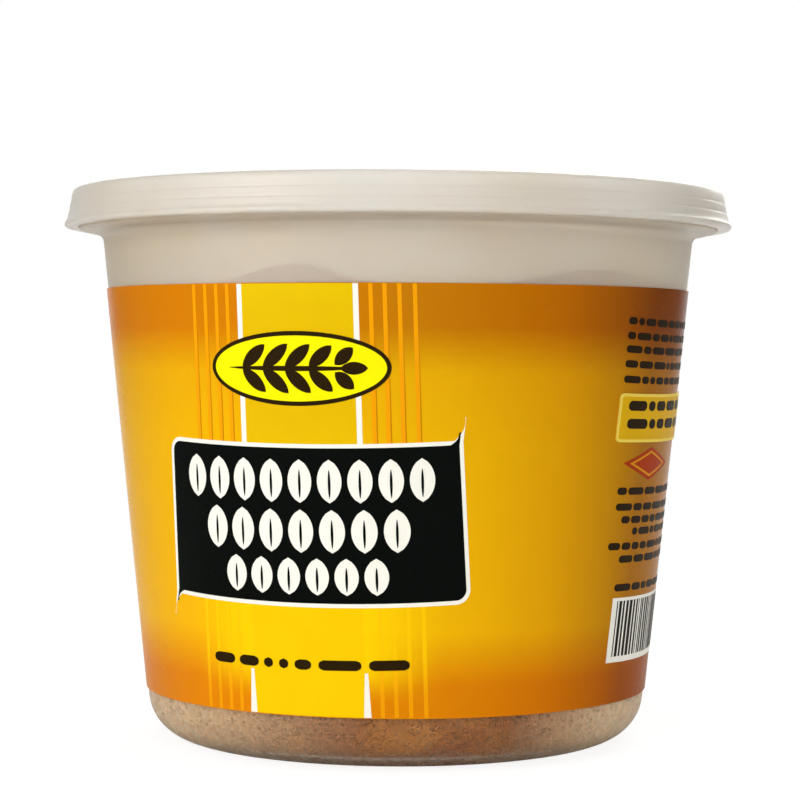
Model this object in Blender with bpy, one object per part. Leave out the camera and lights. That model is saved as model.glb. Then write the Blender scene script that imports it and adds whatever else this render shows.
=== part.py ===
"""A lidded tub of set jaggery: frosted tub, snap lid, wrap label, date sticker and contents.

Units are metres, +Z is up and the tub's axis is Z, with the middle of its foot at the origin.
Azimuths are degrees round the axis, from 0 at -Y towards +X, which is to the right as seen
from -Y. Sizes are given in millimetres and turned into metres by MM.
"""

from math import atan, cos, degrees, exp, hypot, radians, sin

import bmesh
import bpy

MM = 0.001

# Driving dimensions, in millimetres
TAPER = 0.1029              # growth of every wall radius for each millimetre of height
LABEL_RADIUS_AT_FOOT = 39.15  # outer face of the label, carried down to height 0
LABEL_BOTTOM = 8.1
LABEL_TOP = 71.05
LABEL_THICKNESS = 0.3
LABEL_STANDS_PROUD = 0.28   # of the bare wall above and below it
CLEARANCE = 0.3             # between two pieces that touch
LABEL_CENTRE = -18.3        # azimuth of the front panel's middle line
LABEL_SEAM = 0.8            # width of the gap where the label's ends meet, opposite its middle

WALL = 1.0
BASE_ROUNDING = 6.5
FOOT_INNER_RADIUS = 30.4
FOOT_RECESS = 1.2
FLOOR_TOP = FOOT_RECESS + WALL

FLANGE_UNDERSIDE = 79.9
FLANGE_RADIUS = 50.8
FLANGE_RISE = 0.5
FLANGE_THICKNESS = 0.8
FLANGE_FILLET = 1.7
TUB_TOP = 85.2
RIM_BEAD_RADIUS = 48.0

LID_TOP = 86.7
LID_SHOULDER_RADIUS = 51.9
LID_SHOULDER_ROUNDING = 0.8
LID_LIP_RADIUS = 53.1
LID_LIP_BOTTOM = 80.7
LID_LIP_HEIGHT = 0.9
LID_WALL = 0.8
LID_PLUG_RADIUS = 45.8
LID_PANEL_TOP = 83.6
LID_DISC_RADIUS = 37.0
LID_DISC_RISE = 0.6

FILL_LEVEL = 70.6

STICKER_BOTTOM = 47.7
STICKER_TOP = 55.0
STICKER_START = 47.3        # azimuth of its near edge
STICKER_WIDTH = 33.0
STICKER_THICKNESS = 0.25

SEGMENTS = 64
MERGE_DISTANCE = 1e-6
SLOPE = degrees(atan(TAPER))

# Lumps of the set surface: azimuth, distance from the axis, height and width
TOP_LUMPS = (
    (-22.0, 43.0, 3.4, 7.5),
    (34.0, 43.0, 4.0, 9.0),
    (88.0, 40.0, -1.6, 12.0),
    (140.0, 36.0, 2.6, 11.0),
    (196.0, 42.0, 1.8, 9.0),
    (248.0, 38.0, -1.4, 11.0),
    (285.0, 30.0, 2.4, 10.0),
    (20.0, 14.0, -2.2, 13.0),
    (170.0, 12.0, 1.6, 9.0),
)


def label_radius(z):
    """Outer radius of the label's cone at a height."""
    return LABEL_RADIUS_AT_FOOT + TAPER * z


def bare_radius(z):
    """Outer radius of the tub's wall where no label covers it."""
    return label_radius(z) - LABEL_STANDS_PROUD


def recess_radius(z):
    """Outer radius of the tub's wall behind the label."""
    return label_radius(z) - LABEL_THICKNESS - CLEARANCE


def inner_radius(z):
    """Inner radius of the tub's wall."""
    return bare_radius(z) - WALL


def fill_radius(z):
    """Radius of the contents, just clear of the wall."""
    return inner_radius(z) - CLEARANCE


def arc(centre, radius, start, end, steps):
    """Points on a circle in the (radius, height) plane, from one angle in degrees to another."""
    angles = [radians(start + (end - start) * i / steps) for i in range(steps + 1)]
    return [(centre[0] + radius * cos(a), centre[1] + radius * sin(a)) for a in angles]


def wall_round(radius_at, floor, rounding, steps):
    """The rounding that joins a floor to a tapered wall, from the floor up to the wall."""
    centre_height = floor + rounding
    centre_radius = radius_at(centre_height) - rounding / cos(radians(SLOPE))
    return arc((centre_radius, centre_height), rounding, -90.0, -SLOPE, steps)


def material(name, colour, roughness, alpha=1.0):
    """A Principled material with one colour."""
    made = bpy.data.materials.new(name)
    made.use_nodes = True
    shader = made.node_tree.nodes["Principled BSDF"]
    shader.inputs["Base Color"].default_value = (*colour, 1.0)
    shader.inputs["Roughness"].default_value = roughness
    shader.inputs["Metallic"].default_value = 0.0
    shader.inputs["Alpha"].default_value = alpha
    return made


def add_object(name, bm, finish):
    """Closes off a bmesh as a smooth shaded object with outward faces."""
    bmesh.ops.remove_doubles(bm, verts=bm.verts, dist=MERGE_DISTANCE)
    bmesh.ops.recalc_face_normals(bm, faces=bm.faces)
    mesh = bpy.data.meshes.new(name)
    bm.to_mesh(mesh)
    bm.free()
    mesh.shade_smooth()
    mesh.set_sharp_from_angle(angle=radians(35))
    mesh.materials.append(finish)
    made = bpy.data.objects.new(name, mesh)
    bpy.context.collection.objects.link(made)
    return made


def turned(name, profile, finish):
    """A solid of revolution. The profile runs from the axis round the section and back to it."""
    bm = bmesh.new()
    points = [bm.verts.new((r * MM, 0.0, z * MM)) for r, z in profile]
    edges = [bm.edges.new(pair) for pair in zip(points, points[1:])]
    bmesh.ops.spin(
        bm, geom=points + edges, cent=(0, 0, 0), axis=(0, 0, 1),
        angle=radians(360), steps=SEGMENTS, use_duplicate=False,
    )
    return add_object(name, bm, finish)


def wrapped(name, bottom, top, radius_at, thickness, start, end, steps, finish):
    """A thin plate bent round the tub between two heights and two azimuths."""
    bm = bmesh.new()
    sections = []
    for i in range(steps + 1):
        a = radians(start + (end - start) * i / steps)
        corners = (
            (radius_at(bottom) - thickness, bottom),
            (radius_at(bottom), bottom),
            (radius_at(top), top),
            (radius_at(top) - thickness, top),
        )
        sections.append([bm.verts.new((r * sin(a) * MM, -r * cos(a) * MM, z * MM)) for r, z in corners])
    for near, far in zip(sections, sections[1:]):
        for j in range(4):
            k = (j + 1) % 4
            bm.faces.new((near[j], near[k], far[k], far[j]))
    bm.faces.new(sections[0])
    bm.faces.new(sections[-1])
    return add_object(name, bm, finish)


def tub_profile():
    """Section of the tub: foot, rounding, wall with the label's recess, flange, rim and inside."""
    foot = [(0.0, FOOT_RECESS), (FOOT_INNER_RADIUS - FOOT_RECESS, FOOT_RECESS), (FOOT_INNER_RADIUS, 0.0)]
    base = wall_round(bare_radius, 0.0, BASE_ROUNDING, 6)
    low, high = LABEL_BOTTOM - CLEARANCE, LABEL_TOP + CLEARANCE
    recess = [
        (bare_radius(low - CLEARANCE), low - CLEARANCE),
        (recess_radius(low), low),
        (recess_radius(high), high),
        (bare_radius(high + CLEARANCE), high + CLEARANCE),
    ]
    fillet_start = FLANGE_UNDERSIDE - FLANGE_FILLET
    fillet_centre = (bare_radius(fillet_start) + FLANGE_FILLET, fillet_start)
    fillet = arc(fillet_centre, FLANGE_FILLET, 180.0, 90.0, 4)
    flange_top = FLANGE_UNDERSIDE + FLANGE_RISE + FLANGE_THICKNESS
    flange = [
        (FLANGE_RADIUS, FLANGE_UNDERSIDE + FLANGE_RISE),
        (FLANGE_RADIUS, flange_top),
        (bare_radius(flange_top), flange_top),
    ]
    rim = [
        (bare_radius(TUB_TOP - 1.6), TUB_TOP - 1.6),
        (RIM_BEAD_RADIUS, TUB_TOP - 1.0),
        (RIM_BEAD_RADIUS, TUB_TOP - 0.4),
        (RIM_BEAD_RADIUS - 0.4, TUB_TOP),
        (inner_radius(TUB_TOP) + 0.3, TUB_TOP),
        (inner_radius(TUB_TOP - 0.4), TUB_TOP - 0.4),
    ]
    inside = wall_round(inner_radius, FLOOR_TOP, BASE_ROUNDING - WALL, 5)[::-1]
    return foot + base + recess + fillet + flange + rim + inside + [(0.0, FLOOR_TOP)]


def lid_profile():
    """Section of the lid: disc, recessed panel, plug wall, rim, skirt with its lip, and underside."""
    top = [
        (0.0, LID_PANEL_TOP + LID_DISC_RISE),
        (LID_DISC_RADIUS - LID_DISC_RISE, LID_PANEL_TOP + LID_DISC_RISE),
        (LID_DISC_RADIUS, LID_PANEL_TOP),
        (LID_PLUG_RADIUS - LID_WALL - 0.5, LID_PANEL_TOP),
        (LID_PLUG_RADIUS - LID_WALL, LID_PANEL_TOP + 0.5),
        (LID_PLUG_RADIUS - LID_WALL, LID_TOP - 0.5),
        (LID_PLUG_RADIUS - LID_WALL + 0.5, LID_TOP),
    ]
    corner = (LID_SHOULDER_RADIUS - LID_SHOULDER_ROUNDING, LID_TOP - LID_SHOULDER_ROUNDING)
    shoulder = arc(corner, LID_SHOULDER_ROUNDING, 90.0, 0.0, 3)
    lip_top = LID_LIP_BOTTOM + LID_LIP_HEIGHT
    skirt = [
        (LID_LIP_RADIUS - 0.45, lip_top + 0.4),
        (LID_LIP_RADIUS, lip_top - 0.2),
        (LID_LIP_RADIUS - 0.1, LID_LIP_BOTTOM + 0.2),
        (LID_LIP_RADIUS - 0.45, LID_LIP_BOTTOM),
        (LID_LIP_RADIUS - 1.6, LID_LIP_BOTTOM),
        (LID_LIP_RADIUS - 1.6, lip_top + 0.4),
        (LID_SHOULDER_RADIUS - LID_WALL, LID_TOP - 1.6),
        (LID_SHOULDER_RADIUS - LID_WALL - 0.5, LID_TOP - LID_WALL),
    ]
    under = [
        (LID_PLUG_RADIUS, LID_TOP - LID_WALL),
        (LID_PLUG_RADIUS, LID_PANEL_TOP - LID_WALL + 0.4),
        (LID_PLUG_RADIUS - 0.4, LID_PANEL_TOP - LID_WALL),
        (LID_DISC_RADIUS, LID_PANEL_TOP - LID_WALL),
        (LID_DISC_RADIUS - LID_DISC_RISE, LID_PANEL_TOP - LID_WALL + LID_DISC_RISE),
        (0.0, LID_PANEL_TOP - LID_WALL + LID_DISC_RISE),
    ]
    return top + shoulder + skirt + under


def surface_height(x, y):
    """Height of the set surface above the fill level, as the sum of its lumps."""
    total = 0.0
    for azimuth, distance, height, width in TOP_LUMPS:
        a = radians(azimuth)
        away = hypot(x - distance * sin(a), y + distance * cos(a)) / width
        total += height * exp(-away * away)
    return total


def make_jaggery(finish):
    """The contents: one solid that fills the tub to its uneven top."""
    foot = wall_round(fill_radius, FLOOR_TOP + CLEARANCE, BASE_ROUNDING - WALL, 4)
    side = [(fill_radius(z), z) for z in (30.0, 52.0, 66.0)]
    edge = fill_radius(FILL_LEVEL)
    rings = [(edge * share, FILL_LEVEL) for share in (1.0, 0.93, 0.84, 0.74, 0.62, 0.5, 0.36, 0.2, 0.0)]
    made = turned("jaggery", [(0.0, FLOOR_TOP + CLEARANCE)] + foot + side + rings, finish)
    for vertex in made.data.vertices:
        if vertex.co.z < (FILL_LEVEL - 0.001) * MM:
            continue
        x, y = vertex.co.x / MM, vertex.co.y / MM
        z = FILL_LEVEL + surface_height(x, y)
        spread = fill_radius(z) / fill_radius(FILL_LEVEL)
        vertex.co = (x * spread * MM, y * spread * MM, z * MM)
    return made


def make_label(finish):
    """The wrap label, whose two ends nearly meet opposite the front panel."""
    half_gap = degrees(LABEL_SEAM / 2 / label_radius(LABEL_BOTTOM))
    start, end = LABEL_CENTRE - 180.0 + half_gap, LABEL_CENTRE + 180.0 - half_gap
    return wrapped(
        "label", LABEL_BOTTOM, LABEL_TOP, label_radius, LABEL_THICKNESS, start, end, SEGMENTS, finish,
    )


def make_sticker(finish):
    """The small date sticker on the label's right."""
    width = degrees(STICKER_WIDTH / label_radius(STICKER_BOTTOM))

    def radius_at(z):
        return label_radius(z) + CLEARANCE + STICKER_THICKNESS

    return wrapped(
        "date_sticker", STICKER_BOTTOM, STICKER_TOP, radius_at, STICKER_THICKNESS,
        STICKER_START, STICKER_START + width, 14, finish,
    )


def main():
    for old in list(bpy.data.objects):
        bpy.data.objects.remove(old)
    frosted = material("frosted_plastic", (0.80, 0.76, 0.69), 0.42, 0.55)
    lid_plastic = material("lid_plastic", (0.84, 0.81, 0.75), 0.35, 0.6)
    turned("tub", tub_profile(), frosted)
    turned("lid", lid_profile(), lid_plastic)
    make_jaggery(material("jaggery", (0.28, 0.13, 0.045), 0.7))
    make_label(material("label_print", (0.85, 0.45, 0.01), 0.3))
    make_sticker(material("sticker_print", (0.88, 0.55, 0.03), 0.4))


main()
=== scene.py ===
from itertools import product
from math import atan, cos, pi, radians, sin

import bmesh
import bpy
import numpy as np
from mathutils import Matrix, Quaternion, Vector


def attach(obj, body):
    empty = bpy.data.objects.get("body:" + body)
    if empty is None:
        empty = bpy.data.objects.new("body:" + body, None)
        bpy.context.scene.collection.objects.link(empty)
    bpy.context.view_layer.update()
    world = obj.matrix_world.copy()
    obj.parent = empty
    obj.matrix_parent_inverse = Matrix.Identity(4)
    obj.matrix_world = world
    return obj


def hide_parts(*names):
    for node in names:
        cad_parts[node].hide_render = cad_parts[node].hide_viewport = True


# A lidded tub of set jaggery: frosted tub, snap lid, wrap label with its print, date sticker
# and contents. Shapes are worked out in millimetres and turned into metres by MM. Azimuths are
# degrees round the tub's axis, from 0 at -Y towards +X.

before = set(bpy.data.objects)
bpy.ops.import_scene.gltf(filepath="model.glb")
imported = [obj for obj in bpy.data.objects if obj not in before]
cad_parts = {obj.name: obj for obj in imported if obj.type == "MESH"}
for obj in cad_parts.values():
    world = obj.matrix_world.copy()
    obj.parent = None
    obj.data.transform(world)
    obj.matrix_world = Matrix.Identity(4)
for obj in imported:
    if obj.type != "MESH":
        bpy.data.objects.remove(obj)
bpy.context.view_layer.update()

MM = 0.001
TAPER = 0.1029
LABEL_RADIUS_AT_FOOT = 39.15
LABEL_BOTTOM, LABEL_TOP = 8.1, 71.05
LABEL_THICKNESS = 0.26
LABEL_STANDS_PROUD = 0.28
LABEL_CENTRE = -18.5
LABEL_SEAM = 0.8
FINISH_CHANGE = 40.0
WALL = 1.0
BASE_ROUNDING = 7.3
FOOT_INNER_RADIUS = 30.4
FOOT_RECESS = 1.2
FLOOR_TOP = FOOT_RECESS + WALL
FLANGE_UNDERSIDE = 79.9
FLANGE_RADIUS = 50.8
FLANGE_TOP = 81.2
FLANGE_FILLET = 1.7
TUB_TOP = 85.2
RIM_BEAD_RADIUS = 48.0
LID_TOP = 86.7
LID_LIP_RADIUS = 53.1
LID_LIP_BOTTOM = 80.7
LID_PLUG_RADIUS = 45.8
LID_WALL = 0.8
LID_PANEL_TOP = 83.6
LID_DISC_RADIUS = 37.0
LID_DISC_RISE = 0.6
FILL_LEVEL = 70.6
STICKER_BOTTOM, STICKER_TOP = 47.7, 55.0
STICKER_START = 47.3
STICKER_WIDTH = 33.0
STICKER_THICKNESS = 0.22

PANEL_FOOT, PANEL_HEAD = 16.2, 40.05
PANEL_LEFT, PANEL_RIGHT = -23.95, 23.8

SLOPE = atan(TAPER)
COLUMNS = 256
PRINT_GLOSS = 0.03
AMBIENT = 0.2
MIRRORED_FROM, MIRRORED_FULL = 0.8, 0.97    # how squarely behind the tub gloss begins to see white, and does
FLOOR_REACH = 6.0
FLOOR_FADE_START, FLOOR_FADE_END = 0.08, 0.3

# Lumps of the set surface: azimuth, distance from the axis, height and width
TOP_LUMPS = (
    (-20.0, 42.0, 3.4, 9.0),
    (40.0, 42.0, 3.0, 12.0),
    (62.0, 41.0, 1.4, 9.0),
    (88.0, 40.0, -1.6, 12.0),
    (140.0, 36.0, 2.6, 11.0),
    (196.0, 40.0, 1.8, 9.0),
    (248.0, 38.0, -1.4, 11.0),
    (285.0, 30.0, 2.4, 10.0),
    (20.0, 14.0, -2.2, 13.0),
    (170.0, 12.0, 1.6, 9.0),
)


# ---------------------------------------------------------------- sections and surfaces

def label_radius(z):
    """Outer radius of the label's cone at a height."""
    return LABEL_RADIUS_AT_FOOT + TAPER * z


def bare_radius(z):
    """Outer radius of the tub's wall where no label covers it."""
    return label_radius(z) - LABEL_STANDS_PROUD


def inner_radius(z):
    """Inner radius of the tub's wall."""
    return bare_radius(z) - WALL


def arc(centre, radius, start, end, steps):
    """Circle in the (radius, height) plane: centre plus radius times (cos, sin) of evenly spaced angles."""
    angle = np.radians(np.linspace(start, end, steps + 1))
    return np.stack([centre[0] + radius * np.cos(angle), centre[1] + radius * np.sin(angle)], -1)


def wall_round(radius_at, floor, rounding, steps):
    """The rounding from a floor up to a tapered wall: an arc from straight down to the wall's slope."""
    height = floor + rounding
    centre = (radius_at(height) - rounding / cos(SLOPE), height)
    return arc(centre, rounding, -90.0, -np.degrees(SLOPE), steps)


def eased(points, radius, steps=4):
    """Corners rounded: each is replaced by a parabola that touches its two sides at most one radius away.

    The parabola is (1-t)^2 a + 2t(1-t) p + t^2 b, with p the corner and a and b the touching points.
    """
    points = np.asarray(points, float)
    before, corner, after = points[:-2], points[1:-1], points[2:]

    def towards(other):
        side = other - corner
        length = np.linalg.norm(side, axis=-1, keepdims=True)
        return corner + side * np.minimum(radius / length, 0.45)

    t = np.linspace(0.0, 1.0, steps + 1)[None, :, None]
    a, p, b = towards(before)[:, None], corner[:, None], towards(after)[:, None]
    rounds = (1 - t) ** 2 * a + 2 * t * (1 - t) * p + t ** 2 * b
    return np.concatenate([points[:1], rounds.reshape(-1, 2), points[-1:]])


def grid_faces(rows, columns, closed=False):
    """Quads between neighbouring rows and columns of a grid, by index; closed joins the last column on."""
    r = np.arange(rows - 1)[:, None] * columns
    c = np.arange(columns if closed else columns - 1)[None, :]
    ahead = (c + 1) % columns
    return np.stack([r + c, r + ahead, r + columns + ahead, r + columns + c], -1).reshape(-1, 4)


def around(radius, azimuth, z):
    """A point at a radius, azimuth in degrees and height: (r sin a, -r cos a, z), in metres."""
    a = np.radians(azimuth)
    return np.stack(np.broadcast_arrays(radius * np.sin(a), -radius * np.cos(a), z), -1) * MM


def turned(profile, columns=COLUMNS):
    """A solid of revolution: a (radius, height) profile from axis to axis, carried round the axis."""
    azimuth = np.arange(columns) * 360.0 / columns
    points = around(profile[:, :1], azimuth[None, :], profile[:, 1:])
    return points.reshape(-1, 3), grid_faces(len(profile), columns, closed=True)


def plate(top, bottom):
    """A closed thin plate: a top grid, a bottom grid turned over, and quads that join their edges."""
    rows, columns = top.shape[:2]
    count = rows * columns
    quads = grid_faces(rows, columns)
    index = np.arange(count).reshape(rows, columns)
    rim = np.concatenate([index[0, :-1], index[:-1, -1], index[-1, :0:-1], index[:0:-1, 0]])
    ahead = np.roll(rim, -1)
    sides = np.stack([rim, rim + count, ahead + count, ahead], -1)
    points = np.concatenate([top.reshape(-1, 3), bottom.reshape(-1, 3)])
    return points, np.concatenate([quads, quads[:, ::-1] + count, sides])


def joined(shells):
    """Several shells as one: their points one after another, and their faces moved on to match."""
    starts = np.cumsum([0] + [len(points) for points, _ in shells[:-1]])
    points = np.concatenate([points for points, _ in shells])
    return points, np.concatenate([faces + start for (_, faces), start in zip(shells, starts)])


def piece(name, shell, finish, replaces=None, merge=False):
    """Makes a shell into an object that rides on the part's one body."""
    points, faces = shell
    mesh = bpy.data.meshes.new(name)
    mesh.from_pydata(points.tolist(), [], faces.tolist())
    if merge:
        bm = bmesh.new()
        bm.from_mesh(mesh)
        bmesh.ops.remove_doubles(bm, verts=bm.verts, dist=1e-7)
        bmesh.ops.recalc_face_normals(bm, faces=bm.faces)
        bm.to_mesh(mesh)
        bm.free()
    mesh.shade_smooth()
    mesh.set_sharp_from_angle(angle=radians(40))
    mesh.materials.append(finish)
    made = bpy.data.objects.new(name, mesh)
    bpy.context.scene.collection.objects.link(made)
    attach(made, "root")
    if replaces:
        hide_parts(replaces)
    return made


def smooth_noise(points, cell, seed):
    """Smooth noise from -1 to 1: random values on a lattice, blended by s^2 (3 - 2s) along each axis."""
    size = 64
    table = np.random.RandomState(seed).uniform(-1.0, 1.0, (size, size, size))
    scaled = points / cell
    low = np.floor(scaled).astype(int)
    s = scaled - low
    s = s * s * (3 - 2 * s)
    total = np.zeros(points.shape[:-1])
    for corner in product((0, 1), repeat=3):
        weight = np.prod(np.where(corner, s, 1 - s), axis=-1)
        at = (low + corner) % size
        total += weight * table[at[..., 0], at[..., 1], at[..., 2]]
    return total


# ---------------------------------------------------------------- finishes

def ink(red, green, blue):
    """A colour given on the 0 to 255 swatch scale, as the linear values that a shader takes."""
    share = np.array([red, green, blue]) / 255.0
    linear = np.where(share <= 0.04045, share / 12.92, ((share + 0.055) / 1.055) ** 2.4)
    return (*linear.tolist(), 1.0)


class Finish:
    """A node material being built: a Principled shader fed by patterns on Object coordinates."""

    def __init__(self, name, **values):
        self.material = bpy.data.materials.new(name)
        self.material.use_nodes = True
        self.tree = self.material.node_tree
        self.shader = self.tree.nodes["Principled BSDF"]
        for socket, value in values.items():
            self.shader.inputs[socket.replace("_", " ")].default_value = value
        self.place = self.node("ShaderNodeTexCoord").outputs["Object"]

    def node(self, kind, inputs=None, **settings):
        """Adds a node. An input takes a value, or another node's output to be linked."""
        made = self.tree.nodes.new(kind)
        for key, value in settings.items():
            setattr(made, key, value)
        for key, value in (inputs or {}).items():
            if isinstance(value, bpy.types.NodeSocket):
                self.tree.links.new(value, made.inputs[key])
            else:
                made.inputs[key].default_value = value
        return made

    def noise(self, scale, detail=3.0, roughness=0.5):
        """Cloudy noise, from 0 to 1, with this many bumps to the metre."""
        inputs = {"Vector": self.place, "Scale": scale, "Detail": detail, "Roughness": roughness}
        return self.node("ShaderNodeTexNoise", inputs).outputs["Fac"]

    def cells(self, scale, feature="F1"):
        """Distance to the nearest of many scattered points."""
        inputs = {"Vector": self.place, "Scale": scale}
        return self.node("ShaderNodeTexVoronoi", inputs, feature=feature).outputs["Distance"]

    def spread(self, value, low, high, to_low=0.0, to_high=1.0, smooth=False):
        """Maps a value from one range to another, clamped."""
        inputs = {"Value": value, "From Min": low, "From Max": high, "To Min": to_low, "To Max": to_high}
        kind = "SMOOTHSTEP" if smooth else "LINEAR"
        return self.node("ShaderNodeMapRange", inputs, interpolation_type=kind).outputs["Result"]

    def blend(self, share, first, second, mode="MIX"):
        """Mixes two colours by a share."""
        made = self.node("ShaderNodeMix", {"Factor": share}, data_type="RGBA", blend_type=mode)
        for socket, value in ((made.inputs[6], first), (made.inputs[7], second)):
            if isinstance(value, bpy.types.NodeSocket):
                self.tree.links.new(value, socket)
            else:
                socket.default_value = value
        return made.outputs[2]

    def ramp(self, share, stops):
        """A run of colours along a share, from (position, colour) stops."""
        made = self.node("ShaderNodeValToRGB", {"Fac": share})
        band = made.color_ramp
        while len(band.elements) < len(stops):
            band.elements.new(0.5)
        for element, (position, colour) in zip(band.elements, stops):
            element.position = position
            element.color = colour
        return made.outputs["Color"]

    def sum(self, first, second, operation="ADD"):
        """Two values added, or put through another operation."""
        return self.node("ShaderNodeMath", {0: first, 1: second}, operation=operation).outputs["Value"]

    def height(self):
        """Height above the foot, in metres, and the two level coordinates."""
        return self.node("ShaderNodeSeparateXYZ", {"Vector": self.place}).outputs

    def wear(self, socket, value):
        """Feeds a shader socket."""
        self.tree.links.new(value, self.shader.inputs[socket])

    def bump(self, height, depth):
        """Relief of the given depth in metres."""
        inputs = {"Height": height, "Strength": 1.0, "Distance": depth}
        self.wear("Normal", self.node("ShaderNodeBump", inputs).outputs["Normal"])


def print_finish(name, colour, spread=0.06, roughness=0.36):
    """Printed ink: one colour with faint cloudiness, on a slightly rippled film."""
    made = Finish(name, Specular_IOR_Level=PRINT_GLOSS)
    darker = tuple(c * (1.0 - spread) for c in colour[:3]) + (1.0,)
    made.wear("Base Color", made.blend(made.noise(260.0), darker, colour))
    made.wear("Roughness", made.spread(made.noise(900.0), 0.3, 0.7, roughness - 0.04, roughness + 0.06))
    made.bump(made.noise(420.0, 2.0), 0.00001)
    return made.material


def frosted_finish(name, warm, pale, transmission, roughness, bending=1.49):
    """Frosted polypropylene: cloudy, slightly warm, with a fine moulded grain and faint flow marks."""
    made = Finish(name, Transmission_Weight=transmission, IOR=bending, Specular_IOR_Level=0.4)
    cloud = made.spread(made.noise(55.0, 4.0), 0.35, 0.65)
    made.wear("Base Color", made.blend(cloud, warm, pale))
    made.wear("Roughness", made.spread(made.noise(700.0), 0.3, 0.7, roughness - 0.04, roughness + 0.05))
    made.bump(made.sum(made.noise(2600.0, 2.0), made.noise(240.0, 2.0)), 0.00003)
    return made.material


def jaggery_finish():
    """Set jaggery: brown crystal mass with syrup patches, pale grains and a dry top, lighter to both sides by
    painted light.
    """
    made = Finish("jaggery_with_painted_side_light")
    patches = made.spread(made.noise(90.0, 6.0, 0.6), 0.3, 0.7)
    mass = made.ramp(patches, (
        (0.0, ink(120, 62, 10)),
        (0.45, ink(154, 90, 24)),
        (1.0, ink(186, 124, 48)),
    ))
    crystals = made.spread(made.cells(1500.0), 0.0, 0.45, 1.0, 0.0)
    azimuth = label_azimuth(made)
    # Lighter to both sides: painted light.
    left = made.spread(azimuth, azimuth_share(-58.0), azimuth_share(-6.0), 0.95, 0.0)
    right = made.spread(azimuth, azimuth_share(25.0), azimuth_share(58.0), 0.0, 1.0)
    painted_side_light = made.blend(made.sum(left, right), mass, ink(248, 224, 190))
    grained = made.blend(made.sum(crystals, 0.12, "MULTIPLY"), painted_side_light, ink(236, 204, 146))
    dry = made.spread(made.height()["Z"], 66.0 * MM, 72.0 * MM, 0.0, 0.08)
    made.wear("Base Color", made.blend(dry, grained, ink(232, 200, 150)))
    made.wear("Roughness", made.spread(made.noise(800.0), 0.3, 0.7, 0.45, 0.75))
    made.bump(made.sum(made.noise(1100.0, 5.0), crystals), 0.0004)
    return made.material


def label_height(made):
    """Height up the label as a share, from its bottom edge to its top edge."""
    return made.spread(made.height()["Z"], LABEL_BOTTOM * MM, LABEL_TOP * MM)


def label_azimuth(made):
    """Azimuth round the tub as a share, from 0 behind it to 1 behind it again, with 0.5 at -Y."""
    level = made.height()
    away = made.sum(level["Y"], -1.0, "MULTIPLY")
    return made.spread(made.sum(level["X"], away, "ARCTAN2"), -pi, pi)


def azimuth_share(azimuth):
    """The share that label_azimuth gives at an azimuth in degrees."""
    return 0.5 + azimuth / 360.0


def label_finish():
    """The label's ground: amber between two soft orange bands.

    It turns yellow round the foot of the front stripe. The amber is lighter low down and darker higher up, which
    is painted light from the floor below. Towards the small print it darkens, partly in the print's own colour
    and partly by painted shade; the top band darkens further there by painted shade under the lid.
    """
    made = Finish("label_ground_with_painted_shade", Specular_IOR_Level=PRINT_GLOSS)
    share = label_height(made)
    top, foot = ink(216, 127, 3), ink(233, 137, 4)
    # The orange bands are print; the amber's lightening downwards and darkening upwards is painted light from
    # the floor below.
    ground = made.ramp(share, (
        (0.0, foot), (0.075, foot), (0.2, ink(253, 189, 5)), (0.4, ink(248, 186, 5)), (0.62, ink(244, 184, 5)),
        (0.8, ink(238, 174, 5)), (0.9, top), (1.0, top),
    ))
    azimuth = label_azimuth(made)
    # Factors round the tub: the darkening towards the small print is partly the print's own colour and partly
    # painted shade on the sides the lamps light less.
    print_and_shade_tones = (
        (-100.0, 0.9, 0.88), (-63.0, 0.93, 0.93), (-46.0, 1.0, 1.0), (6.0, 0.94, 0.98), (20.0, 0.9, 0.88),
        (32.0, 0.85, 0.77), (47.0, 0.65, 0.55), (58.0, 0.44, 0.32), (110.0, 0.5, 0.36), (150.0, 1.0, 0.95),
    )
    tone = made.ramp(azimuth, [(azimuth_share(a), (red, green, 1.0, 1.0)) for a, red, green in print_and_shade_tones])
    ground_with_painted_shade = made.blend(1.0, ground, tone, "MULTIPLY")
    # The top band's further darkening round the tub is painted shade under the lid.
    top_painted_shade_tones = (
        (-28.0, 1.0, 1.0), (0.0, 0.86, 0.93), (32.0, 0.86, 0.86), (55.0, 0.68, 0.68), (110.0, 0.7, 0.7),
        (150.0, 1.0, 1.0),
    )
    top_painted_shade = made.ramp(azimuth, [(azimuth_share(a), (red, green, 1.0, 1.0)) for a, red, green in top_painted_shade_tones])
    top_shaded_ground = made.blend(1.0, ground_with_painted_shade, top_painted_shade, "MULTIPLY")
    ground_with_painted_shade = made.blend(made.spread(share, 0.78, 0.9), ground_with_painted_shade, top_shaded_ground)
    edges = [azimuth_share(LABEL_CENTRE + a) for a in (-29.0, -12.0, 12.0, 29.0)]
    left = made.spread(azimuth, edges[0], edges[1], smooth=True)
    right = made.spread(azimuth, edges[2], edges[3], 1.0, 0.0, True)
    rise = made.spread(share, 0.03, 0.13, smooth=True)
    fall = made.spread(share, 0.27, 0.4, 1.0, 0.0, True)
    glow = made.sum(made.sum(left, right, "MULTIPLY"), made.sum(rise, fall, "MULTIPLY"), "MULTIPLY")
    glowing = made.blend(glow, ground_with_painted_shade, ink(255, 211, 4))
    made.wear("Base Color", made.blend(made.noise(240.0), glowing, (0.96, 0.94, 0.9, 1.0), "MULTIPLY"))
    made.wear("Roughness", made.spread(made.noise(900.0), 0.3, 0.7, 0.2, 0.28))
    made.bump(made.noise(420.0, 2.0), 0.00001)
    return made.material


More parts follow.
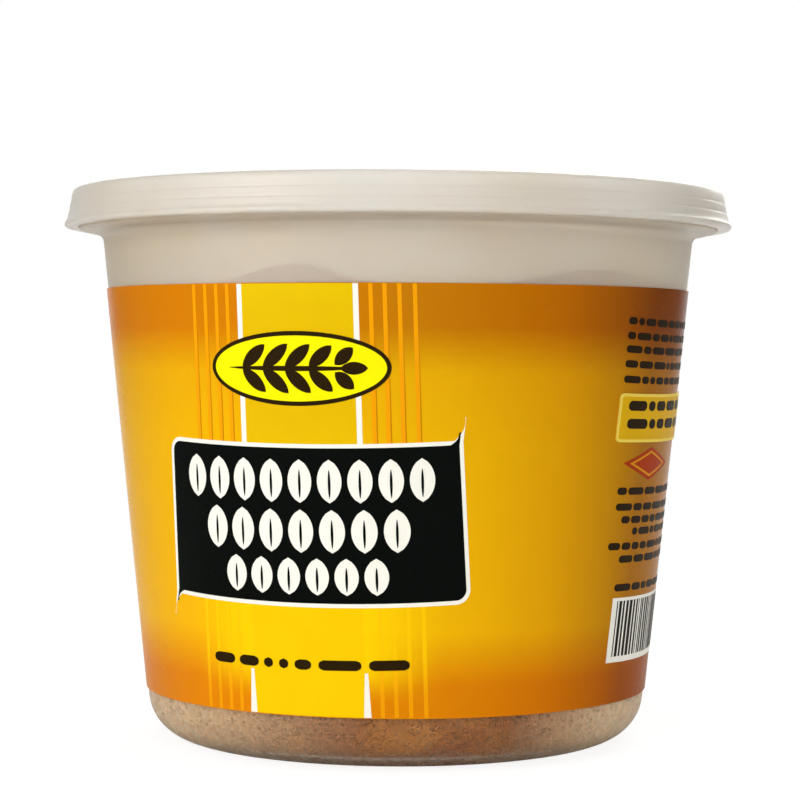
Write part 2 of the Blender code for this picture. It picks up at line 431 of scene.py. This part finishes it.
def stripe_finish():
    """The front stripe: yellow, brighter towards its foot by painted light from the floor below."""
    made = Finish("stripe_yellow_with_painted_light", Specular_IOR_Level=PRINT_GLOSS)
    # Lighter towards the foot: painted light from the floor below.
    ground = made.ramp(label_height(made), (
        (0.0, ink(255, 208, 4)), (0.28, ink(252, 205, 4)), (0.55, ink(238, 193, 4)), (0.8, ink(230, 184, 4)),
        (1.0, ink(234, 196, 4)),
    ))
    made.wear("Base Color", made.blend(made.noise(240.0), ground, (0.94, 0.93, 0.9, 1.0), "MULTIPLY"))
    made.wear("Roughness", made.spread(made.noise(900.0), 0.3, 0.7, 0.32, 0.42))
    made.bump(made.noise(420.0, 2.0), 0.00001)
    return made.material


def fine_line_finish():
    """Amber-orange lines, which fade into the ground below the panel."""
    made = Finish("line_orange", Specular_IOR_Level=PRINT_GLOSS)
    line, faded = ink(246, 164, 5), ink(255, 204, 4)
    tone = made.ramp(label_height(made), (
        (0.0, line), (0.05, line), (0.15, faded), (0.27, faded), (0.4, line), (1.0, line),
    ))
    made.wear("Base Color", made.blend(made.noise(260.0), tone, (0.95, 0.94, 0.9, 1.0), "MULTIPLY"))
    made.wear("Roughness", made.spread(made.noise(900.0), 0.3, 0.7, 0.32, 0.42))
    return made.material


# ---------------------------------------------------------------- tub, lid and contents

def make_tub(finish, filled):
    """The tub, turned from its whole section: foot, base rounding, wall, flange, rim and inside.

    Behind the label its finish changes from that of the empty wall to that of the wall with contents.
    """
    foot = [(0.0, FOOT_RECESS), (FOOT_INNER_RADIUS - FOOT_RECESS, FOOT_RECESS), (FOOT_INNER_RADIUS, 0.0)]
    base = wall_round(bare_radius, 0.0, BASE_ROUNDING, 18)
    heights = np.linspace(base[-1, 1], FLANGE_UNDERSIDE - FLANGE_FILLET, 14)[1:-1]
    wall = np.stack([bare_radius(heights), heights], -1)
    fillet_start = FLANGE_UNDERSIDE - FLANGE_FILLET
    fillet_centre = (bare_radius(fillet_start) + FLANGE_FILLET, fillet_start)
    fillet = arc(fillet_centre, FLANGE_FILLET, 180.0, 90.0, 10)
    top = [
        (FLANGE_RADIUS, FLANGE_UNDERSIDE + 0.5),
        (FLANGE_RADIUS, FLANGE_TOP),
        (bare_radius(FLANGE_TOP), FLANGE_TOP),
        (bare_radius(TUB_TOP - 1.6), TUB_TOP - 1.6),
        (RIM_BEAD_RADIUS, TUB_TOP - 1.0),
        (RIM_BEAD_RADIUS, TUB_TOP - 0.4),
        (RIM_BEAD_RADIUS - 0.4, TUB_TOP),
        (inner_radius(TUB_TOP) + 0.3, TUB_TOP),
        (inner_radius(TUB_TOP - 0.4), TUB_TOP - 0.4),
    ]
    inside = wall_round(inner_radius, FLOOR_TOP, BASE_ROUNDING - WALL, 14)[::-1]
    lower = np.concatenate([eased(foot + [base[0]], 0.5)[:-1], base])
    upper = eased(np.concatenate([fillet[-1:], top, inside[:1]]), 0.3)
    profile = np.concatenate([lower, wall, fillet[:-1], upper[:-1], inside, [(0.0, FLOOR_TOP)]])
    made = piece("tub_shell", turned(profile), finish, "tub", merge=True)
    made.data.materials.append(filled)
    middle = np.empty(len(made.data.polygons) * 3)
    made.data.polygons.foreach_get("center", middle)
    made.data.polygons.foreach_set("material_index", (middle[2::3] < FINISH_CHANGE * MM).astype(np.int32))


def make_lid(finish):
    """The snap lid, turned from its section: recessed top, plug, rim, stepped skirt and rolled lip."""
    plug = LID_PLUG_RADIUS - LID_WALL
    outside = [
        (0.0, LID_PANEL_TOP + LID_DISC_RISE),
        (LID_DISC_RADIUS - LID_DISC_RISE, LID_PANEL_TOP + LID_DISC_RISE),
        (LID_DISC_RADIUS, LID_PANEL_TOP),
        (plug - 0.5, LID_PANEL_TOP),
        (plug, LID_PANEL_TOP + 0.5),
        (plug, LID_TOP - 0.5),
        (plug + 0.5, LID_TOP),
        (51.2, LID_TOP),
        (51.7, 86.45),
        (51.9, 85.9),
        (52.1, 84.75),
        (52.11, 84.5),
        (52.19, 84.35),
        (52.38, 83.3),
        (52.39, 83.05),
        (52.48, 82.9),
        (52.68, 82.0),
        (52.85, 81.65),
        (53.02, 81.52),
        (LID_LIP_RADIUS, 81.35),
        (LID_LIP_RADIUS, 81.05),
        (52.95, LID_LIP_BOTTOM + 0.1),
        (52.6, LID_LIP_BOTTOM),
    ]
    underside = [
        (51.0, LID_LIP_BOTTOM),
        (50.9, LID_LIP_BOTTOM + 0.3),
        (50.95, 82.0),
        (51.1, 85.1),
        (50.6, LID_TOP - LID_WALL),
        (LID_PLUG_RADIUS, LID_TOP - LID_WALL),
        (LID_PLUG_RADIUS, LID_PANEL_TOP - LID_WALL + 0.4),
        (LID_PLUG_RADIUS - 0.4, LID_PANEL_TOP - LID_WALL),
        (LID_DISC_RADIUS, LID_PANEL_TOP - LID_WALL),
        (LID_DISC_RADIUS - LID_DISC_RISE, LID_PANEL_TOP - LID_WALL + LID_DISC_RISE),
        (0.0, LID_PANEL_TOP - LID_WALL + LID_DISC_RISE),
    ]
    profile = eased(outside + underside, 0.25)[::-1]
    return piece("lid_shell", turned(profile), finish, "lid", merge=True)


def surface_height(x, y):
    """Height of the set surface above the fill level: each lump adds its height times exp(-(away/width)^2)."""
    total = np.zeros(np.broadcast(x, y).shape)
    for azimuth, distance, height, width in TOP_LUMPS:
        a = radians(azimuth)
        away = np.hypot(x - distance * sin(a), y + distance * cos(a)) / width
        total += height * np.exp(-away ** 2)
    return total


def make_jaggery(finish):
    """The contents, turned from foot to uneven top.

    The side lies just inside the wall's inner face, so no gap shows. The top follows the lumps, with
    two sizes of crumb noise that fade out at the wall.
    """
    reach = 0.25

    def radius_at(z):
        return inner_radius(z) + reach

    foot = wall_round(radius_at, FLOOR_TOP - reach, BASE_ROUNDING - WALL + reach, 14)
    heights = np.linspace(foot[-1, 1] + 2.0, FILL_LEVEL - 1.0, 24)
    side = np.stack([radius_at(heights), heights], -1)
    edge = radius_at(FILL_LEVEL)
    shares = np.linspace(1.0, 0.0, 90) ** 0.8
    rings = np.stack([edge * shares, np.full(90, FILL_LEVEL)], -1)
    profile = np.concatenate([[(0.0, FLOOR_TOP - reach)], foot, side, rings])
    points, faces = turned(profile)
    x, y, z = (points / MM).T
    top = z > FILL_LEVEL - 0.001
    raised = FILL_LEVEL + surface_height(x, y)
    flat = np.stack([x, y, np.zeros_like(x)], -1)
    crumbs = 0.7 * smooth_noise(flat, 2.6, 3) + 0.3 * smooth_noise(flat, 1.1, 5)
    inward = np.clip((edge - np.hypot(x, y)) / 3.0, 0.15, 1.0)
    raised = raised + crumbs * inward * 0.8
    spread = np.where(top, radius_at(raised) / edge, 1.0)
    points = np.stack([x * spread, y * spread, np.where(top, raised, z)], -1) * MM
    return piece("jaggery_fill", (points, faces), finish, "jaggery", merge=True)


# ---------------------------------------------------------------- label and print

APEX = label_radius(LABEL_BOTTOM) / sin(SLOPE)     # slant distance from the cone's tip to the label's foot
SLANT = (LABEL_TOP - LABEL_BOTTOM) / cos(SLOPE)    # height of the flat label
INFO_CENTRE = 74.0
EDGE_MARGIN = 0.12


def on_label(x, y, lift, centre=LABEL_CENTRE):
    """A point of the flat print rolled onto the label's cone.

    The flat sheet is a sector round the cone's tip: the distance from the tip gives the radius and
    height, and the angle at the tip over the sine of the slope gives the azimuth. Lift is outwards,
    square to the cone.
    """
    reach = np.hypot(x, APEX + y)
    azimuth = centre + np.degrees(np.arctan2(x, APEX + y) / sin(SLOPE))
    radius = reach * sin(SLOPE)
    z = (radius - LABEL_RADIUS_AT_FOOT) / TAPER
    return around(radius + lift * cos(SLOPE), azimuth, z - lift * sin(SLOPE))


def flat_place(azimuth, z, centre=INFO_CENTRE):
    """Where a point of the cone lies on the flat sheet: the reverse of on_label."""
    reach = label_radius(z) / sin(SLOPE)
    turn = radians(azimuth - centre) * sin(SLOPE)
    return reach * sin(turn), reach * cos(turn) - APEX


def printed(x, y, layer, centre=LABEL_CENTRE, depth=0.05):
    """A patch of print: a closed plate that stands a hair above the label and reaches a hair into it."""
    return plate(on_label(x, y, 0.02 + 0.018 * layer, centre), on_label(x, y, -depth, centre))


def rows_between(y, left, right, columns):
    """A grid with a row at each height, spread evenly from the left edge to the right edge."""
    share = np.linspace(0.0, 1.0, columns)[None, :]
    left, right, y = (np.broadcast_to(v, y.shape)[:, None] for v in (left, right, y))
    return left + (right - left) * share, y + 0.0 * share


def strip(x, width, foot=None, head=None, tip=1.0):
    """A vertical strip between two heights, or the label's own edges, that narrows to a share at its head."""
    up = np.linspace(0.0, 1.0, 48)[:, None]
    half = np.linspace(-0.5, 0.5, max(3, int(width / 0.9) + 2))[None, :] * width
    across = x + half * (1 + (tip - 1) * up)
    low = np.sqrt(APEX ** 2 - across ** 2) - APEX + EDGE_MARGIN if foot is None else foot
    high = np.sqrt((APEX + SLANT) ** 2 - across ** 2) - APEX - EDGE_MARGIN if head is None else head
    return across, low + (high - low) * up


def oval(x, y, width, height, size=25):
    """A square grid drawn into an ellipse: u sqrt(1 - v^2/2) across and v sqrt(1 - u^2/2) up."""
    u, v = np.meshgrid(np.linspace(-1, 1, size), np.linspace(-1, 1, size))
    return x + width / 2 * u * np.sqrt(1 - v ** 2 / 2), y + height / 2 * v * np.sqrt(1 - u ** 2 / 2)


def leaf(x, y, length, width, lean, blunt=0.8, size=13):
    """A pointed oval on a leaning axis: the half width is (1 - t^2)^blunt times half the width."""
    t, s = np.meshgrid(np.linspace(-1, 1, size), np.linspace(-1, 1, 7), indexing="ij")
    along = t * length / 2
    across = s * (width / 2 * (1 - t ** 2) ** blunt + 0.03)
    a = radians(lean)
    return x + across * cos(a) + along * sin(a), y - across * sin(a) + along * cos(a)


def kite(x, y, length, height, size=13):
    """A lying kite: the half height falls evenly from its middle to its two tips."""
    t, s = np.meshgrid(np.linspace(-1, 1, size), np.linspace(-1, 1, 7), indexing="ij")
    return x + t.T * length / 2, y + s.T * (height / 2 * (1 - np.abs(t.T)) + 0.03)


def bar(left, y, length, height, size=7):
    """A bar with round ends: its half length shrinks by (1 - sqrt(1 - v^2)) of half its height."""
    v = np.linspace(-1.0, 1.0, size)
    shrink = height / 2 * (1 - np.sqrt(1 - v ** 2))
    return rows_between(y + v * height / 2, left + shrink, left + length - shrink, 3 + int(length / 1.2))


def words(left, y, total, height, seed):
    """Bars in uneven word-like lengths that fill a line of the given total length."""
    gap = 0.42 * height
    lengths = np.random.RandomState(seed).uniform(1.4, 4.6, 24) * height
    starts = np.concatenate([[0.0], np.cumsum(lengths + gap)[:-1]])
    fits = starts + 0.8 * height < total
    lengths = np.minimum(lengths, total - starts)
    return [bar(left + s, y, n, height) for s, n in zip(starts[fits], lengths[fits])]


def make_label(finish):
    """The wrap label: a thin conical band whose two ends nearly meet behind, with a map for its bake."""
    half_gap = np.degrees(LABEL_SEAM / 2 / label_radius(LABEL_BOTTOM))
    azimuth = LABEL_CENTRE + np.linspace(-180.0 + half_gap, 180.0 - half_gap, COLUMNS + 1)[None, :]
    z = np.linspace(LABEL_BOTTOM, LABEL_TOP, 13)[:, None]
    shell = plate(around(label_radius(z), azimuth, z), around(label_radius(z) - LABEL_THICKNESS, azimuth, z))
    made = piece("label_wrap", shell, finish, "label")
    rows, columns = 13, COLUMNS + 1
    u, v = np.meshgrid(np.linspace(0.0, 1.0, columns), np.linspace(0.0, 1.0, rows))
    outer = np.stack([u, 0.9 * v], -1).reshape(-1, 2)
    inner = np.stack([u, 0.92 + 0.04 * v], -1).reshape(-1, 2)
    quads = shell[1]
    face_count = (rows - 1) * (columns - 1)
    front = outer[quads[:face_count]]
    back = inner[quads[face_count:2 * face_count] - rows * columns]
    rim_count = len(quads) - 2 * face_count
    along = np.arange(rim_count) / rim_count
    rim = np.stack([
        np.stack([along, along, along + 1 / rim_count, along + 1 / rim_count], -1),
        np.tile([0.97, 0.99, 0.99, 0.97], (rim_count, 1)),
    ], -1)
    layer = made.data.uv_layers.new(name="OFBake")
    layer.data.foreach_set("uv", np.concatenate([front, back, rim]).astype(np.float32).ravel())
    return made


def print_piece(name, patches, layer, finish, centre=LABEL_CENTRE):
    """Several patches of one ink as one piece."""
    shell = joined([printed(x, y, layer, centre) for x, y in patches])
    return piece(name, shell, finish)


def panel_patches(inset):
    """The front panel, drawn in by an inset: a rectangle with two round corners and two curled tips."""
    foot, head, corner = PANEL_FOOT + inset, PANEL_HEAD - inset, 2.2 - inset
    y = np.concatenate([
        foot + corner * (1 - np.cos(np.linspace(0, pi / 2, 9))),
        np.linspace(foot + corner, head - corner, 14)[1:-1],
        head - corner * (1 - np.sin(np.linspace(0, pi / 2, 9))),
    ])
    down = (PANEL_HEAD - y) / (PANEL_HEAD - PANEL_FOOT)

    def cut(away):
        """How far a round corner takes an edge in, at a distance from the corner's start."""
        depth = np.clip(away / corner, 0.0, 1.0)
        return corner * (1 - np.sqrt(1 - depth ** 2))

    left = PANEL_LEFT - 0.45 * down + inset + cut(y - (head - corner))
    right = PANEL_RIGHT + 0.6 * down - inset - cut((foot + corner) - y)
    body = rows_between(y, left, right, 44)
    t = np.linspace(0.0, 1.0, 12)
    rise = 3.35 - 2.6 * inset
    curl = 1 - (1 - t) ** 2.6
    edge = PANEL_RIGHT - inset
    upper = rows_between(
        head + rise * t, edge - 1.3 + (1.75 - 0.7 * inset) * curl, edge + (0.5 - 0.4 * inset) * t + 0.04, 6)
    low_edge = PANEL_LEFT - 0.45 + inset
    lower = rows_between(
        foot - rise * t[::-1], low_edge - (0.7 - 0.4 * inset) * t[::-1] - 0.04,
        low_edge + 1.3 - (1.95 - 0.7 * inset) * curl[::-1], 6)
    return [body, upper, lower]


def sprig_patches(x, y, length):
    """A lying sprig: a slim stem with pairs of slanted leaves that get smaller to a leaf at the tip."""
    stem = leaf(x, y, length, 0.7, 90.0)
    places = np.linspace(-0.36, 0.3, 5) * length
    sizes = np.array([5.0, 5.4, 5.2, 4.6, 3.6])
    upper = [leaf(x + p + 1.3, y + 1.75, n, 1.9, 48.0) for p, n in zip(places, sizes)]
    lower = [leaf(x + p + 1.3, y - 1.75, n, 1.9, 132.0) for p, n in zip(places, sizes)]
    return [stem] + upper + lower + [leaf(x + 0.43 * length, y, 4.0, 1.8, 90.0)]


def make_front_print(white, black, yellow, dark, stripe, line, shade):
    """All that is printed on the label's front."""
    print_piece("stripe_yellow_with_painted_light", [strip(0.0, 17.2)], 0, stripe)
    upper = [strip(x, 0.8, foot=30.0) for x in (-8.95, 8.95)]
    lower = [strip(x, 1.1, head=6.6, tip=0.45) for x in (-8.9, 8.9)]
    print_piece("stripe_edges", upper + lower, 1, white)
    places = [side * x for side in (-1, 1) for x in (11.1, 13.1, 15.2, 17.4)]
    print_piece("fine_lines", [strip(x, 0.6) for x in places], 0, line)
    print_piece("fine_line_edges", [strip(x + 0.4, 0.22, 38.0, 56.0, 0.3) for x in places], 0, shade)
    print_piece("panel_border", panel_patches(0.0), 2, white)
    print_piece("panel_black", panel_patches(0.6), 3, black)
    leaves, ribs = [], []
    for count, left, right, low, high in (
        (9, -20.4, 20.0, 31.5, 37.8), (7, -16.8, 16.3, 24.2, 30.5), (6, -13.3, 13.0, 18.0, 23.4),
    ):
        pitch = (right - left) / count
        for i in range(count):
            x, y = left + (i + 0.5) * pitch, (low + high) / 2
            leaves.append(leaf(x, y, high - low, pitch * 0.8, 0.0, 0.7))
            ribs.append(leaf(x, y - 0.4, (high - low) * 0.66, 0.34, 0.0))
    print_piece("panel_leaves", leaves, 4, white)
    print_piece("panel_leaf_ribs", ribs, 5, black)
    print_piece("badge_border", [oval(-0.2, 50.95, 28.0, 10.8)], 2, dark)
    print_piece("badge_yellow", [oval(-0.2, 50.95, 26.7, 9.5)], 3, yellow)
    print_piece("badge_sprig", sprig_patches(-0.6, 50.95, 21.0), 4, dark)
    weights = ((-16.0, 3.9), (-11.2, 3.4), (-6.9, 1.5), (-4.4, 1.5), (-1.9, 2.6), (1.8, 6.4), (9.3, 5.9))
    print_piece("weight_line", [bar(x, 7.7, n, 1.5) for x, n in weights], 2, dark)


def make_side_print(white, yellow, dark, red, grey):
    """The small print beside the front: lines of plain bars, a red kite and a box of upright bars."""
    lines = []
    for i, z in enumerate((66.1, 63.9, 61.9, 59.7, 57.4)):
        x, y = flat_place(48.4, z)
        lines += words(x, y, -2 * x, 1.1, 11 + i)
    centred = ((49.6, 40.6), (49.55, 38.2), (51.9, 36.2), (56.7, 34.3), (48.1, 32.3), (52.4, 30.2), (51.7, 25.9))
    for i, (azimuth, z) in enumerate(centred):
        x, y = flat_place(azimuth, z)
        lines += words(x, y, -2 * x, 1.1, 31 + i)
    print_piece("small_print", lines, 1, dark, INFO_CENTRE)
    x, y = flat_place(62.0, 44.45)
    print_piece("red_kite", [kite(x, y, 17.0, 5.0)], 1, red, INFO_CENTRE)
    print_piece("kite_line", [kite(x, y, 13.4, 3.9)], 2, yellow, INFO_CENTRE)
    print_piece("kite_middle", [kite(x, y, 11.2, 3.2)], 3, red, INFO_CENTRE)
    left, foot = flat_place(51.0, 14.5)
    height = 9.9
    box = rows_between(foot + np.linspace(0, height, 8), left, -left, 36)
    print_piece("bar_box", [box], 1, white, INFO_CENTRE)
    random = np.random.RandomState(7)
    widths, gaps = random.uniform(0.22, 0.95, 40), random.uniform(0.2, 0.7, 40)
    starts = left + 1.3 + np.concatenate([[0.0], np.cumsum(widths + gaps)[:-1]])
    fits = starts + widths < -left - 1.2
    rows = foot + np.linspace(0.9, height - 0.5, 5)
    bars = [rows_between(rows, s, s + w, 3) for s, w in zip(starts[fits], widths[fits])]
    print_piece("box_bars", bars, 2, grey, INFO_CENTRE)


def make_sticker(ground, edge, dark):
    """The date sticker: a thin plate stuck on the label, with a pale edge and two lines of plain bars."""
    half = STICKER_WIDTH / 2
    centre = STICKER_START + np.degrees(half / label_radius(STICKER_BOTTOM))
    _, low = flat_place(centre, STICKER_BOTTOM, centre)
    _, high = flat_place(centre, STICKER_TOP, centre)
    tall = high - low

    def rounded(inset, corner):
        v = np.concatenate([np.linspace(0, corner, 5), np.linspace(corner, tall - corner, 6)[1:-1],
                            np.linspace(tall - corner, tall, 5)])
        away = np.clip(np.maximum(corner - v, v - (tall - corner)) / corner, 0.0, 1.0)
        x = half - corner * (1 - np.sqrt(1 - away ** 2)) - inset
        y = low + inset + v * (tall - 2 * inset) / tall
        return rows_between(y, -x, x, 36)

    def lifted(patch, top):
        return plate(on_label(*patch, top, centre), on_label(*patch, 0.0, centre))

    piece("sticker_edge", lifted(rounded(0.0, 0.7), STICKER_THICKNESS), edge, "date_sticker")
    piece("sticker_ground", lifted(rounded(0.45, 0.5), STICKER_THICKNESS + 0.02), ground)
    lines = []
    for i, (z, total) in enumerate(((53.2, 27.0), (50.5, 28.5))):
        _, y = flat_place(centre, z, centre)
        lines += words(-half + 2.2, y, total, 1.5, 51 + i)
    shells = [lifted(patch, STICKER_THICKNESS + 0.04) for patch in lines]
    piece("sticker_lines", joined(shells), dark)


# ---------------------------------------------------------------- stage

def add_node(tree, kind, **inputs):
    """A node whose inputs are set to values or linked to other nodes' outputs."""
    made = tree.nodes.new(kind)
    for key, value in inputs.items():
        socket = made.inputs[int(key[1:])] if key[1:].isdigit() else made.inputs[key.replace("_", " ")]
        if isinstance(value, bpy.types.NodeSocket):
            tree.links.new(value, socket)
        else:
            socket.default_value = value
    return made


def add_math(tree, operation, first, second):
    """Two values put through an operation."""
    made = add_node(tree, "ShaderNodeMath", _0=first, _1=second)
    made.operation = operation
    return made.outputs[0]


def looked_at(tree):
    """Whether a ray is the camera's own, straight or through clear walls, or reached by way of gloss.

    Each is 1 or 0, and both are 0 once the ray has left a matt surface.
    """
    seen = tree.nodes.new("ShaderNodeLightPath").outputs
    through = add_math(tree, "MAXIMUM", seen["Is Camera Ray"], seen["Is Transmission Ray"])
    clean = add_math(tree, "LESS_THAN", seen["Diffuse Depth"], 0.5)
    return add_math(tree, "MULTIPLY", through, clean), add_math(tree, "MULTIPLY", seen["Is Glossy Ray"], clean)


def make_stage():
    """A wide pale floor that looks white, keeps a soft shadow round the tub, and fades into the surround."""
    mesh = bpy.data.meshes.new("floor")
    size, drop = FLOOR_REACH, -0.1 * MM
    corners = [(-size, -size, drop), (size, -size, drop), (size, size, drop), (-size, size, drop)]
    mesh.from_pydata(corners, [], [(0, 1, 2, 3)])
    floor = bpy.data.objects.new("floor", mesh)
    bpy.context.scene.collection.objects.link(floor)
    paper = bpy.data.materials.new("white_paper")
    paper.use_nodes = True
    tree = paper.node_tree
    tree.nodes.clear()
    direct, gloss = looked_at(tree)
    place = tree.nodes.new("ShaderNodeTexCoord").outputs["Object"]
    away = add_node(tree, "ShaderNodeVectorMath", _0=place)
    away.operation = "LENGTH"
    bearing = add_node(tree, "ShaderNodeVectorMath", _0=place)
    bearing.operation = "NORMALIZE"
    level = add_node(tree, "ShaderNodeSeparateXYZ", Vector=bearing.outputs["Vector"])
    behind = add_node(tree, "ShaderNodeMapRange", Value=level.outputs["Y"], From_Min=MIRRORED_FROM,
                      From_Max=MIRRORED_FULL)
    mirrored = add_math(tree, "MULTIPLY", gloss, behind.outputs[0])
    seen = add_math(tree, "ADD", direct, mirrored)
    far = add_node(tree, "ShaderNodeMapRange", Value=away.outputs["Value"], From_Min=FLOOR_FADE_START,
                   From_Max=FLOOR_FADE_END)
    matt = add_node(tree, "ShaderNodeBsdfDiffuse", Color=(0.8, 0.8, 0.8, 1.0))
    shaded = add_node(tree, "ShaderNodeBsdfDiffuse", Color=(0.25, 0.25, 0.25, 1.0))
    glow = add_node(tree, "ShaderNodeEmission", Strength=0.86)
    white = add_node(tree, "ShaderNodeEmission", Strength=1.0)
    near = add_node(tree, "ShaderNodeAddShader", _0=shaded.outputs[0], _1=glow.outputs[0])
    ground = add_node(tree, "ShaderNodeMixShader", Fac=far.outputs[0], _1=near.outputs[0], _2=white.outputs[0])
    surface = add_node(tree, "ShaderNodeMixShader", Fac=seen, _1=matt.outputs[0], _2=ground.outputs[0])
    add_node(tree, "ShaderNodeOutputMaterial", Surface=surface.outputs[0])
    mesh.materials.append(paper)


def make_world():
    """White to look at; a low even light on surfaces; and for gloss, white only at the back of the room."""
    world = bpy.data.worlds.new("studio")
    bpy.context.scene.world = world
    world.use_nodes = True
    tree = world.node_tree
    tree.nodes.clear()
    direct, gloss = looked_at(tree)
    direction = tree.nodes.new("ShaderNodeTexCoord").outputs["Generated"]
    level = add_node(tree, "ShaderNodeSeparateXYZ", Vector=direction)
    behind = add_node(tree, "ShaderNodeMapRange", Value=level.outputs["Y"], From_Min=MIRRORED_FROM,
                      From_Max=MIRRORED_FULL, To_Min=0.04, To_Max=1.0)
    behind.interpolation_type = "SMOOTHSTEP"
    white = add_node(tree, "ShaderNodeBackground", Color=(1.0, 1.0, 1.0, 1.0), Strength=1.0)
    mirrored = add_node(tree, "ShaderNodeBackground", Color=(1.0, 1.0, 1.0, 1.0), Strength=behind.outputs[0])
    soft = add_node(tree, "ShaderNodeBackground", Color=(1.0, 1.0, 1.0, 1.0), Strength=AMBIENT)
    matt = add_node(tree, "ShaderNodeMixShader", Fac=gloss, _1=soft.outputs[0], _2=mirrored.outputs[0])
    shown = add_node(tree, "ShaderNodeMixShader", Fac=direct, _1=matt.outputs[0], _2=white.outputs[0])
    add_node(tree, "ShaderNodeOutputWorld", Surface=shown.outputs[0])


def make_lamp(name, azimuth, elevation, distance, size, level):
    """A soft square lamp aimed at the tub's middle; level is the share of full white on a facing surface."""
    lamp = bpy.data.lights.new(name, "AREA")
    lamp.shape = "SQUARE"
    lamp.size = size
    lamp.energy = level * (pi * distance) ** 2
    made = bpy.data.objects.new(name, lamp)
    bpy.context.scene.collection.objects.link(made)
    a, e = radians(azimuth), radians(elevation)
    back = Vector((sin(a) * cos(e), -cos(a) * cos(e), sin(e)))
    made.location = Vector((0.0, 0.0, 0.045)) + back * distance
    made.rotation_euler = (-back).to_track_quat("-Z", "Y").to_euler()
    made.visible_camera = False


def make_camera():
    """The camera stands close in front, a little under the lid's height, and looks slightly down."""
    lens = bpy.data.cameras.new("camera")
    lens.sensor_width = 36.0
    lens.lens = 108.2
    lens.clip_start, lens.clip_end = 0.01, 50.0
    camera = bpy.data.objects.new("camera", lens)
    bpy.context.scene.collection.objects.link(camera)
    camera.location = (0.0, -0.387, 0.0608)
    aim = Vector((0.00046, 0.0, 0.05354)) - camera.location
    roll = 0.005
    camera.rotation_mode = "QUATERNION"
    camera.rotation_quaternion = aim.to_track_quat("-Z", "Y") @ Quaternion((0, 0, 1), roll)
    bpy.context.scene.camera = camera


def main():
    bpy.context.scene.view_settings.view_transform = "Standard"
    make_stage()
    make_world()
    make_lamp("key", -47.0, 17.0, 0.9, 0.55, 0.54)
    make_lamp("front", 9.0, 12.0, 0.9, 0.5, 0.27)
    make_lamp("side", 82.0, 18.0, 0.9, 0.5, 0.16)
    make_lamp("back", 158.0, 30.0, 0.9, 0.6, 0.45)
    make_lamp("top", -20.0, 80.0, 0.9, 0.6, 0.3)
    make_camera()

    wall = frosted_finish("frosted_wall", ink(251, 238, 214), ink(254, 245, 229), 0.63, 0.38)
    filled = frosted_finish("filled_wall", ink(250, 236, 216), ink(253, 244, 230), 0.97, 0.26, 1.15)
    make_tub(wall, filled)
    make_lid(frosted_finish("frosted_lid", ink(252, 244, 230), ink(254, 250, 241), 0.48, 0.34))
    make_jaggery(jaggery_finish())
    make_label(label_finish())

    white = print_finish("white_print", ink(250, 248, 236), 0.03)
    black = print_finish("black_print", ink(8, 12, 9), 0.2, 0.3)
    yellow = print_finish("yellow_print", ink(255, 243, 6), 0.04)
    dark = print_finish("dark_print", ink(44, 30, 8), 0.2)
    shade = print_finish("line_shade", ink(205, 128, 5), 0.05)
    red = print_finish("red_print", ink(176, 58, 6), 0.1)
    amber_line = print_finish("kite_amber", ink(224, 150, 20), 0.05)
    grey = print_finish("bar_print", ink(40, 32, 26), 0.2)
    make_front_print(white, black, yellow, dark, stripe_finish(), fine_line_finish(), shade)
    make_side_print(white, amber_line, dark, red, grey)
    sticker = print_finish("sticker_ground", ink(226, 176, 14), 0.05)
    edge = print_finish("sticker_edge", ink(246, 218, 90), 0.05)
    make_sticker(sticker, edge, dark)


main()
